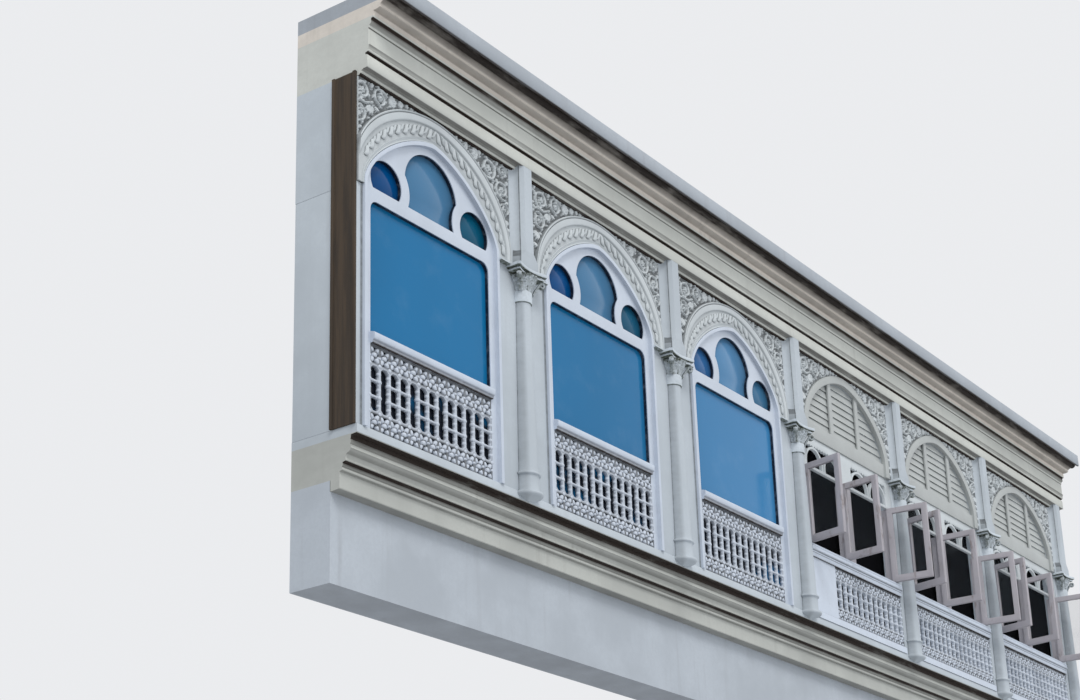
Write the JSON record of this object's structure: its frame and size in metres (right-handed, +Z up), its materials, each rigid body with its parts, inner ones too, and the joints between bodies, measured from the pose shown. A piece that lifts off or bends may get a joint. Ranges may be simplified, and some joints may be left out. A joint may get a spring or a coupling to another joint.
{
  "type": "arcaded mashrabiya window screen",
  "caption": "Jettied upper-storey window screen with arched glazed and louvred bays, turned lattice balustrades, engaged columns and a moulded cornice.",
  "frame": {"origin": "on the ground, at the middle of the foot of the wall", "axes": "+Z up, street face towards -Y, +X to the right along the wall seen from the street"},
  "size_m": [14.362, 1.1019, 4.945],
  "materials": {
    "plaster": "pale limewashed render, matt",
    "lower_wall": "cool grey-white render, matt",
    "slab_edge": "cool grey-white render, matt",
    "stained_moulding": "cream render with brown weather stains, matt",
    "capital_stone": "white carving with greenish dirt, matt",
    "casing_white": "white painted timber, satin",
    "carved_white": "white painted carving, matt",
    "lattice_white": "white painted turned lattice, satin",
    "louvre_paint": "off-white painted louvres, satin",
    "sash_wood": "weathered painted timber, matt",
    "brown_wood": "dark brown boards, matt",
    "blue_glass": "blue tinted glass, gloss",
    "royal_glass": "deep blue tinted glass, gloss",
    "green_glass": "green tinted glass, gloss",
    "clear_glass": "clear glass, gloss"
  },
  "bodies": {
    "root": {"apron_wall": "lower_wall", "sill_cornice": "stained_moulding", "piers": "plaster", "head_wall": "plaster", "lintel_wall": "plaster", "columns": "plaster", "capitals": "capital_stone", "pilaster_strips": "plaster", "architrave": "plaster", "frieze": "plaster", "crown_moulding": "stained_moulding", "cornice_slab": "slab_edge", "casing_1": "casing_white", "casing_2": "casing_white", "casing_3": "casing_white", "main_glass": "blue_glass", "blue_rounds": "royal_glass", "green_rounds": "green_glass", "lobe_glass": "blue_glass", "lattice_1": "lattice_white", "lattice_2": "lattice_white", "lattice_3": "lattice_white", "lattice_4": "lattice_white", "lattice_5": "lattice_white", "lattice_6": "lattice_white", "lattice_rails": "casing_white", "archivolt_1": "carved_white", "archivolt_2": "carved_white", "archivolt_3": "carved_white", "glazed_spandrels": "carved_white", "louvred_spandrels": "carved_white", "lunette_4": "louvre_paint", "lunette_5": "louvre_paint", "lunette_6": "louvre_paint", "louvre_slats": "louvre_paint", "frets": "carved_white", "window_frames": "sash_wood", "sashes": "sash_wood", "sash_glass": "clear_glass", "left_return": "brown_wood"}
  },
  "joints": []
}
